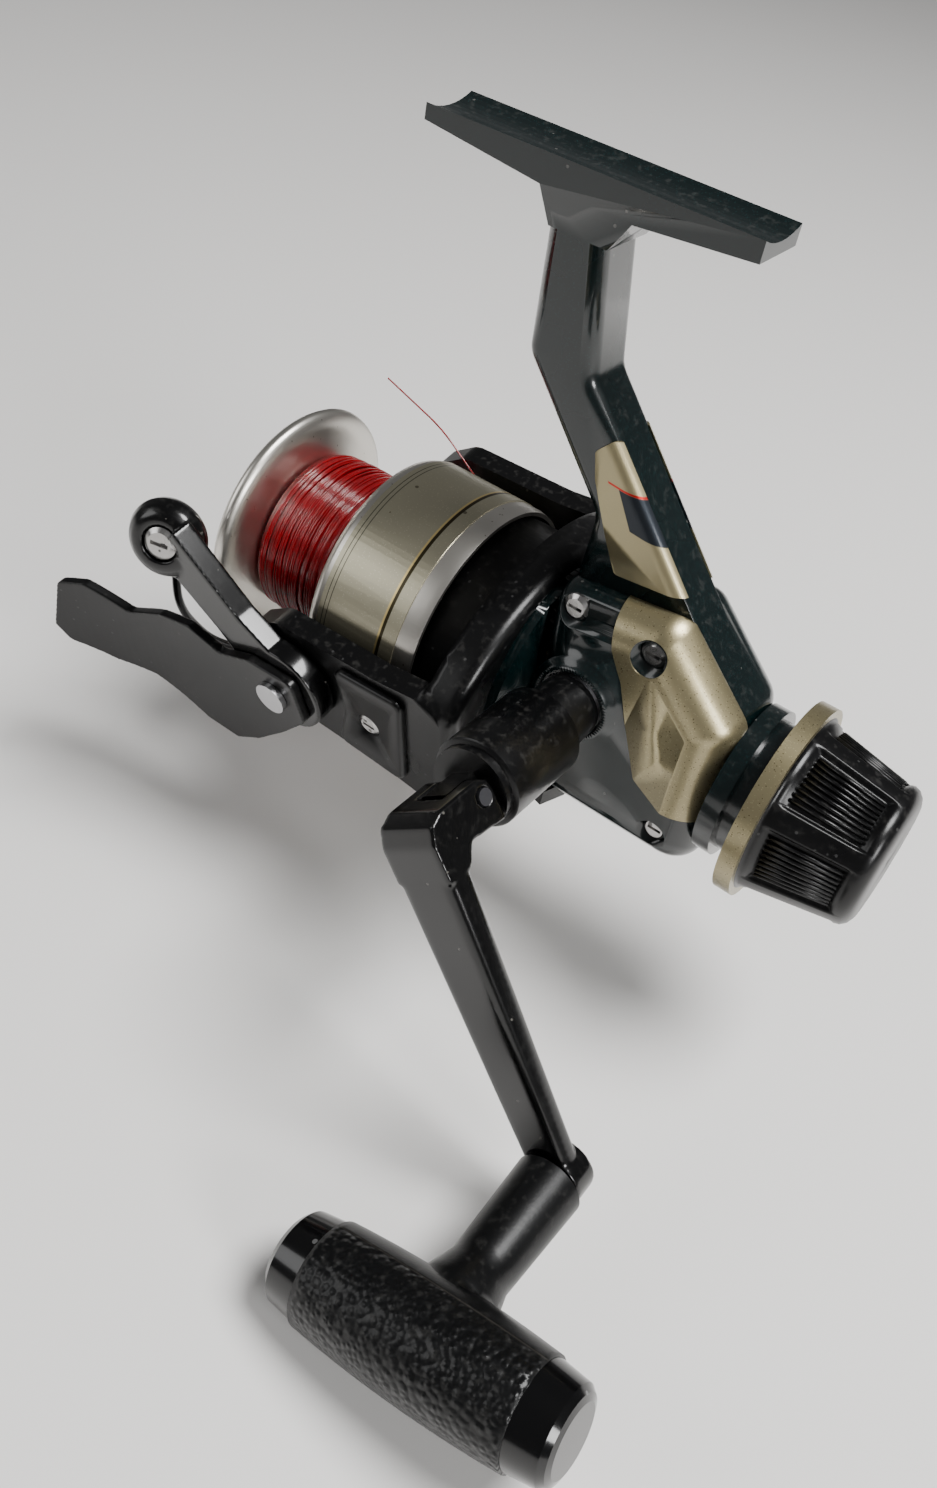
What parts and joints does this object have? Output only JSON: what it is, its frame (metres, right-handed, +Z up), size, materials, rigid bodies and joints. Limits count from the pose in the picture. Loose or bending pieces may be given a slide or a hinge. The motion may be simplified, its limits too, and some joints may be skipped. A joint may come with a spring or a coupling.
{
  "type": "rear-drag spinning reel",
  "caption": "Spinning reel for a fishing rod with a rear drag knob, skirted spool wound with red line, folding crank handle, trigger bail and a saddle foot.",
  "frame": {"origin": "middle of the foot's saddle, on its centre line", "axes": "+X forward to the spool and the rod's tip, +Y to the handle side, +Z up into the rod"},
  "size_m": [0.1779, 0.1461, 0.1514],
  "materials": {
    "black_gloss": "gloss black enamel",
    "black_grip": "black moulding with a fine hide grain",
    "black_satin": "satin black moulding",
    "brass": "turned brass",
    "dark_green_paint": "dark green metallic gloss",
    "fibre": "oiled drag washers",
    "gold_plate": "champagne gold metallic film",
    "nickel": "nickel-plated screws",
    "red_line": "clear red fishing line",
    "spool_alloy": "polished aluminium",
    "steel": "turned steel",
    "white_plastic": "natural acetal",
    "zinc": "die-cast zinc gear"
  },
  "bodies": {
    "frame": {"body_frame": "dark_green_paint", "side_cover": "dark_green_paint", "badge_upper": "gold_plate", "badge_lower": "gold_plate", "badge_far": "gold_plate", "crank_bearing_right": "steel", "crank_bearing_left": "steel", "side_cap": "dark_green_paint", "cover_screws": "nickel", "pinion_bearing": "steel", "bearing_retainer": "white_plastic", "gear_axle": "steel", "slider_guide_rod": "steel", "drag_collar": "dark_green_paint", "drag_washers": "fibre", "drag_spring": "steel"},
    "crank": {"drive_gear": "zinc", "crank_shank": "black_satin", "shank_collar": "black_satin", "hinge_lug": "black_gloss", "fold_pin": "steel"},
    "handle": {"handle_arm": "black_gloss", "knob_spindle": "steel"},
    "knob": {"knob_grip": "black_grip", "knob_cap_front": "black_grip", "knob_cap_rear": "black_grip"},
    "oscillator": {"oscillation_gear": "white_plastic"},
    "slider": {"oscillation_slider": "white_plastic"},
    "rotor": {"rotor": "black_satin", "pinion_gear": "brass", "rotor_nut": "steel", "ratchet_wheel": "white_plastic", "arm_cover_near": "black_satin", "arm_cover_far": "black_satin", "arm_screw_near": "nickel", "arm_screw_far": "nickel", "line_end": "red_line"},
    "bail": {"bail_arm": "black_gloss", "trigger_lever": "black_satin", "roller_pin": "steel", "roller_screw": "nickel", "bail_wire": "black_gloss", "bail_far_lever": "black_satin", "bail_pivot_near": "steel", "bail_pivot_far": "steel"},
    "roller": {"line_roller": "steel"},
    "spool": {"main_shaft": "steel", "spool": "spool_alloy", "spool_band": "gold_plate", "line_winding": "red_line"},
    "button": {"spool_button": "black_satin"},
    "drag_hub": {"drag_key": "brass"},
    "drag_knob": {"drag_knob": "black_satin", "drag_knob_ring": "gold_plate"},
    "drag_nut": {"drag_nut": "brass"},
    "reverse_lever": {"anti_reverse_lever": "black_satin"},
    "pawl": {"pawl": "steel"}
  },
  "joints": [
    {"name": "crank_spin", "type": "hinge", "parent": "frame", "child": "crank", "pos_m": [-0.0239, 0, -0.0844], "axis": [0, 1, 0], "continuous": true},
    {"name": "handle_fold", "type": "hinge", "parent": "crank", "child": "handle", "pos_m": [-0.0239, 0.0486, -0.0844], "axis": [0.7793, 0, -0.6266], "range_deg": [0, 90]},
    {"name": "knob_spin", "type": "hinge", "parent": "handle", "child": "knob", "pos_m": [-0.06551, 0.08, -0.13615], "axis": [0, 1, 0], "continuous": true},
    {"name": "oscillation_spin", "type": "hinge", "parent": "frame", "child": "oscillator", "pos_m": [-0.0389, 0, -0.0892], "axis": [0, 1, 0], "continuous": true},
    {"name": "spool_stroke", "type": "slide", "parent": "frame", "child": "slider", "axis": [1, 0, 0], "range_m": [-0.0075, 0.0075]},
    {"name": "rotor_spin", "type": "hinge", "parent": "frame", "child": "rotor", "pos_m": [-0.0239, 0, -0.0914], "axis": [1, 0, 0], "continuous": true},
    {"name": "bail_flip", "type": "hinge", "parent": "rotor", "child": "bail", "pos_m": [0.0261, 0, -0.0914], "axis": [0, 0.9703, -0.2419], "range_deg": [-36, 0]},
    {"name": "roller_spin", "type": "hinge", "parent": "bail", "child": "roller", "pos_m": [0.05251, 0.04126, -0.07802], "axis": [-0.3477, 0.9196, 0.1829], "continuous": true},
    {"name": "spool_slip", "type": "hinge", "parent": "slider", "child": "spool", "pos_m": [-0.0239, 0, -0.0914], "axis": [1, 0, 0], "continuous": true},
    {"name": "spool_release", "type": "slide", "parent": "spool", "child": "button", "axis": [1, 0, 0], "range_m": [-0.002, 0], "stiffness_N_per_m": 300, "springref_m": 0.002},
    {"name": "drag_hub_spin", "type": "hinge", "parent": "frame", "child": "drag_hub", "pos_m": [-0.0589, 0, -0.0914], "axis": [1, 0, 0], "continuous": true},
    {"name": "drag_setting", "type": "hinge", "parent": "frame", "child": "drag_knob", "pos_m": [-0.0689, 0, -0.0914], "axis": [1, 0, 0], "range_deg": [-180, 180]},
    {"name": "drag_nut_travel", "type": "slide", "parent": "frame", "child": "drag_nut", "axis": [1, 0, 0], "range_m": [-0.001, 0.001]},
    {"name": "reverse_switch", "type": "hinge", "parent": "frame", "child": "reverse_lever", "pos_m": [-0.0209, 0.0026, -0.0914], "axis": [0, 0, 1], "range_deg": [-18, 18]},
    {"name": "pawl_swing", "type": "hinge", "parent": "frame", "child": "pawl", "pos_m": [-0.0039, 0.015, -0.0874], "axis": [1, 0, 0], "range_deg": [-10, 10]}
  ],
  "couplings": [
    {"joint": "rotor_spin", "follows": "crank_spin", "ratio": 4.1111},
    {"joint": "oscillation_spin", "follows": "crank_spin", "ratio": -0.5},
    {"joint": "drag_nut_travel", "follows": "drag_setting", "m_per_rad": -0.00023873},
    {"joint": "drag_hub_spin", "follows": "spool_slip", "ratio": 1},
    {"joint": "pawl_swing", "follows": "reverse_switch", "ratio": 0.55556}
  ]
}
